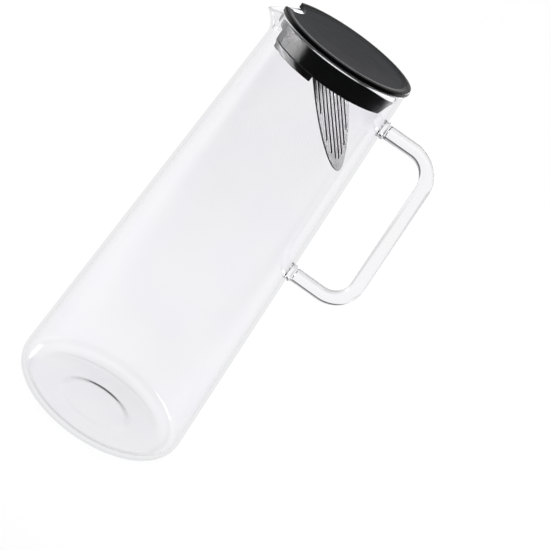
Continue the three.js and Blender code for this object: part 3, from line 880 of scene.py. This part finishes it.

# %% [markdown]
# The floor is a plain white disc. A part of it is emission for rays that show it, so that it stays as
# white as the backdrop, and the rest is matt, so that it keeps the pitcher's soft shadow. Mirrored in
# glass or plastic it fades to dark in front, as the room does. Through the glass its glow is painted by
# angle, a painted sheen: white at a flat angle and greyer from straight above. To the sides, up to a
# metre out, it is painted darker for light that has crossed just one piece of glass, a painted shade
# which draws the thin lines in the rod. Seen without any glass it is never darker than white.

# %% Floor
FLOOR_RADIUS = 4.0
FLOOR_DROP = 0.2 * MM  # keeps the floor clear of the pitcher's foot
FLOOR_GLOW = 0.82  # share of the floor's tone that is emission
ASIDE_LEAN, SPOUT_LEAN = -0.5, -0.32  # how the dark front spreads to both sides and to the spout's side
FRONT_START, FRONT_END = -0.06, -0.4
FRONT_LIGHT, FRONT_DARK = 0.88, 0.03
STEEP_START, STEEP_END = 0.15, 0.5
STEEP_TONE, FLAT_TONE = 0.7, 1.12
SIDE_START, SIDE_END, SIDE_LOSS = 0.28, 0.42, 0.26
FADE_START, FADE_END = 0.8, 1.0
floor_mesh = bmesh.new()
bmesh.ops.create_circle(floor_mesh, cap_ends=True, segments=96, radius=FLOOR_RADIUS)
bmesh.ops.translate(floor_mesh, verts=floor_mesh.verts[:], vec=(0, 0, -FLOOR_DROP))
floor = as_object(floor_mesh, "floor")
paper = bpy.data.materials.new("white_paper_floor")
tree = new_tree(paper)
rays = add_node(tree, "ShaderNodeLightPath")
place = add_node(tree, "ShaderNodeTexCoord").outputs["Object"]
spot = add_node(tree, "ShaderNodeSeparateXYZ", {"Vector": place})
aside = add_node(tree, "ShaderNodeMath", {0: spot.outputs["X"]}, operation="ABSOLUTE")
back = add_node(tree, "ShaderNodeMath", {
    0: aside.outputs["Value"], 1: ASIDE_LEAN, 2: spot.outputs["Y"],
}, operation="MULTIPLY_ADD")
back = add_node(tree, "ShaderNodeMath", {
    0: spot.outputs["X"], 1: SPOUT_LEAN, 2: back.outputs["Value"],
}, operation="MULTIPLY_ADD")
front = add_node(tree, "ShaderNodeMapRange", {
    "Value": back.outputs["Value"], "From Min": FRONT_START, "From Max": FRONT_END,
    "To Min": FRONT_LIGHT, "To Max": FRONT_DARK,
}, interpolation_type="SMOOTHSTEP")
reflected = add_node(tree, "ShaderNodeMath", {
    0: rays.outputs["Glossy Depth"], 1: 0.5,
}, operation="GREATER_THAN")
# painted sheen: the floor's glow is made greyer or whiter by the angle it is seen at
facing = add_node(tree, "ShaderNodeLayerWeight", {"Blend": 0.5}).outputs["Facing"]
painted_floor_tone = add_node(tree, "ShaderNodeMapRange", {
    "Value": facing, "From Min": STEEP_START, "From Max": STEEP_END,
    "To Min": STEEP_TONE, "To Max": FLAT_TONE,
})
# painted shade: the floor is darker to the sides for light that has crossed one piece of glass
painted_side_shade = add_node(tree, "ShaderNodeMapRange", {
    "Value": aside.outputs["Value"], "From Min": SIDE_START, "From Max": SIDE_END, "To Max": SIDE_LOSS,
}, interpolation_type="SMOOTHSTEP")
lone = add_node(tree, "ShaderNodeMath", {
    0: rays.outputs["Transmission Depth"], 1: 2, 2: 0.5,
}, operation="COMPARE")
painted_side_loss = add_node(tree, "ShaderNodeMath", {
    0: painted_side_shade.outputs["Result"], 1: lone.outputs["Value"],
}, operation="MULTIPLY")
away = add_node(tree, "ShaderNodeVectorMath", {0: place}, operation="LENGTH")
near = add_node(tree, "ShaderNodeMapRange", {
    "Value": away.outputs["Value"], "From Min": FADE_START, "From Max": FADE_END, "To Min": 1, "To Max": 0,
})
painted_side_loss = add_node(tree, "ShaderNodeMath", {
    0: painted_side_loss.outputs["Value"], 1: near.outputs["Result"],
}, operation="MULTIPLY")
painted_floor_tone = add_node(tree, "ShaderNodeMath", {
    0: painted_floor_tone.outputs["Result"], 1: painted_side_loss.outputs["Value"],
}, operation="SUBTRACT")
painted_floor_tone = add_node(tree, "ShaderNodeMath", {
    0: painted_floor_tone.outputs["Value"], 1: rays.outputs["Is Camera Ray"],
}, operation="MAXIMUM")
tone = add_node(tree, "ShaderNodeMix", {
    0: reflected.outputs["Value"], 2: painted_floor_tone.outputs["Value"], 3: front.outputs["Result"],
})
shown = add_node(tree, "ShaderNodeMath", {
    0: rays.outputs["Is Camera Ray"], 1: rays.outputs["Is Glossy Ray"],
}, operation="MAXIMUM")
shown = add_node(tree, "ShaderNodeMath", {
    0: shown.outputs["Value"], 1: rays.outputs["Is Transmission Ray"],
}, operation="MAXIMUM")
lift = add_node(tree, "ShaderNodeMath", {0: shown.outputs["Value"], 1: FLOOR_GLOW}, operation="MULTIPLY")
lift = add_node(tree, "ShaderNodeMath", {
    0: lift.outputs["Value"], 1: reflected.outputs["Value"],
}, operation="MAXIMUM")
matt = add_node(tree, "ShaderNodeBsdfDiffuse", {"Color": linear("#F4F4F4")})
glow = add_node(tree, "ShaderNodeEmission", {"Color": linear("#FFFFFF"), "Strength": tone.outputs[0]})
mixed = add_node(tree, "ShaderNodeMixShader", {
    0: lift.outputs["Value"], 1: matt.outputs["BSDF"], 2: glow.outputs["Emission"],
})
add_node(tree, "ShaderNodeOutputMaterial", {"Surface": mixed.outputs["Shader"]})
floor.data.materials.append(paper)
print("floor radius", FLOOR_RADIUS)

# %% [markdown]
# Three soft lamps. A wide one overhead lights the lid, a low panel on the left makes the bright patch
# on the glossy collar, and a panel far behind gives the sloping strainer its pale sheen. The two panels
# shine only for light that has met one gloss, and count the glass faces it has crossed. The left one asks
# for four, which is in through the wall and out again, and the back one for no more than that. So they
# make their patch and put few spots on the glass. Photographers flag a lamp with black card for the same
# reason.

# %% Lamps
PANEL_ROLL = math.radians(-9)


def soft_lamp(name, place, aim, size, power):
    """A rectangular area lamp that faces a point and isn't seen by the camera."""
    data = bpy.data.lights.new(name, "AREA")
    data.shape, data.size, data.size_y, data.energy = "RECTANGLE", size[0], size[1], power
    lamp = bpy.data.objects.new(name, data)
    lamp.location = place
    lamp.rotation_mode = "QUATERNION"
    lamp.rotation_quaternion = (Vector(aim) - Vector(place)).to_track_quat("-Z", "Y")
    lamp.visible_camera = False
    bpy.context.scene.collection.objects.link(lamp)
    print(f"{name}: {power} W")
    return lamp


overhead = soft_lamp("overhead", (-0.15, 0.3, 1.4), (0, 0, 0.2), (1.0, 0.8), 5)
overhead.visible_transmission = False
back_panel = soft_lamp("back_panel", (0.31, 1.0, 0.42), (0, 0, 0.23), (0.6, 0.3), 2.3)
left_panel = soft_lamp("low_left_panel", (-0.63, -0.16, 0.078), (0, 0, 0.257), (0.6, 0.12), 4)
left_panel.rotation_quaternion @= Quaternion((0, 0, 1), PANEL_ROLL)


def glow_after(lamp, passes, operation):
    """Lets a lamp shine only after one gloss and the right number of glass faces."""
    tree = new_tree(lamp.data)
    rays = add_node(tree, "ShaderNodeLightPath")
    crossed = add_node(tree, "ShaderNodeMath", {
        0: rays.outputs["Transmission Depth"], 1: passes, 2: 0.5,
    }, operation=operation)
    once = add_node(tree, "ShaderNodeMath", {
        0: rays.outputs["Glossy Depth"], 1: 1, 2: 0.1,
    }, operation="COMPARE")
    both = add_node(tree, "ShaderNodeMath", {
        0: crossed.outputs["Value"], 1: once.outputs["Value"],
    }, operation="MULTIPLY")
    glow = add_node(tree, "ShaderNodeEmission", {"Strength": both.outputs["Value"]})
    add_node(tree, "ShaderNodeOutputLight", {"Surface": glow.outputs["Emission"]})


glow_after(left_panel, 4, "COMPARE")
glow_after(back_panel, 4.5, "LESS_THAN")

# %% [markdown]
# Standard keeps each colour as it is written.

# %% Finish
bpy.context.scene.view_settings.view_transform = "Standard"
